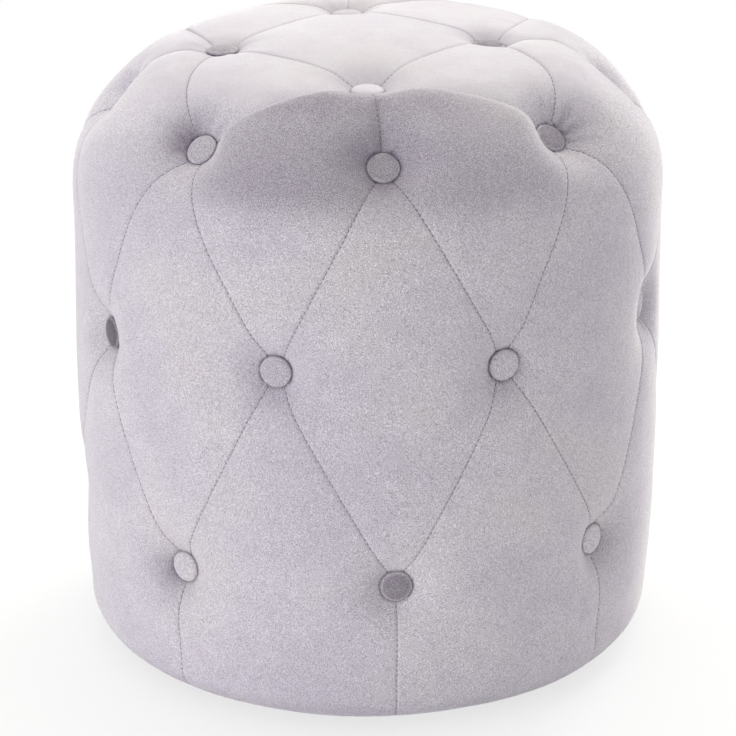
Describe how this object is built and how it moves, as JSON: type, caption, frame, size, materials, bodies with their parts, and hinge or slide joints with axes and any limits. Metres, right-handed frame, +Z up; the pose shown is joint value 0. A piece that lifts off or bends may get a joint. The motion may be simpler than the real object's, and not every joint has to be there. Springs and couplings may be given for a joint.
{
  "type": "upholstered ottoman",
  "caption": "Round drum ottoman with a diamond-tufted velvet cover, fabric-covered buttons, foam on a timber frame, and low glides.",
  "frame": {"origin": "on the floor under the centre of the stool", "axes": "+Z up; -Y is the front, where a column of buttons faces; +X to the right seen from the front"},
  "size_m": [0.4198, 0.4198, 0.4449],
  "materials": {
    "velvet": "pale lilac-grey short-pile velvet, matt with a soft sheen at grazing angles and shade that follows the lie of the nap",
    "button_velvet": "the same velvet drawn tight over a domed button shell",
    "foam": "open-cell polyurethane upholstery foam",
    "plywood": "unfinished plywood, saw-cut edge with plies showing",
    "pine": "planed softwood with eased edges",
    "hardboard": "brown hardboard, smooth outer face",
    "zinc_steel": "zinc-plated steel",
    "nonwoven": "black spun-bonded cloth",
    "nylon": "moulded black nylon"
  },
  "bodies": {
    "root": {"velvet_cover": "velvet", "crown_button_1": "button_velvet", "crown_button_2": "button_velvet", "crown_button_3": "button_velvet", "crown_button_4": "button_velvet", "shoulder_button_1": "button_velvet", "shoulder_button_2": "button_velvet", "shoulder_button_3": "button_velvet", "shoulder_button_4": "button_velvet", "shoulder_button_5": "button_velvet", "shoulder_button_6": "button_velvet", "shoulder_button_7": "button_velvet", "shoulder_button_8": "button_velvet", "waist_button_1": "button_velvet", "waist_button_2": "button_velvet", "waist_button_3": "button_velvet", "waist_button_4": "button_velvet", "waist_button_5": "button_velvet", "waist_button_6": "button_velvet", "waist_button_7": "button_velvet", "waist_button_8": "button_velvet", "skirt_button_1": "button_velvet", "skirt_button_2": "button_velvet", "skirt_button_3": "button_velvet", "skirt_button_4": "button_velvet", "skirt_button_5": "button_velvet", "skirt_button_6": "button_velvet", "skirt_button_7": "button_velvet", "skirt_button_8": "button_velvet", "top_foam": "foam", "side_foam": "foam", "top_board": "plywood", "base_ring": "plywood", "hardboard_wall": "hardboard", "post_1": "pine", "post_2": "pine", "post_3": "pine", "post_4": "pine", "top_screw_1": "zinc_steel", "top_screw_2": "zinc_steel", "top_screw_3": "zinc_steel", "top_screw_4": "zinc_steel", "base_screw_1": "zinc_steel", "base_screw_2": "zinc_steel", "base_screw_3": "zinc_steel", "base_screw_4": "zinc_steel", "dust_cover": "nonwoven", "glide_1": "nylon", "glide_2": "nylon", "glide_3": "nylon", "glide_4": "nylon"}
  },
  "joints": []
}
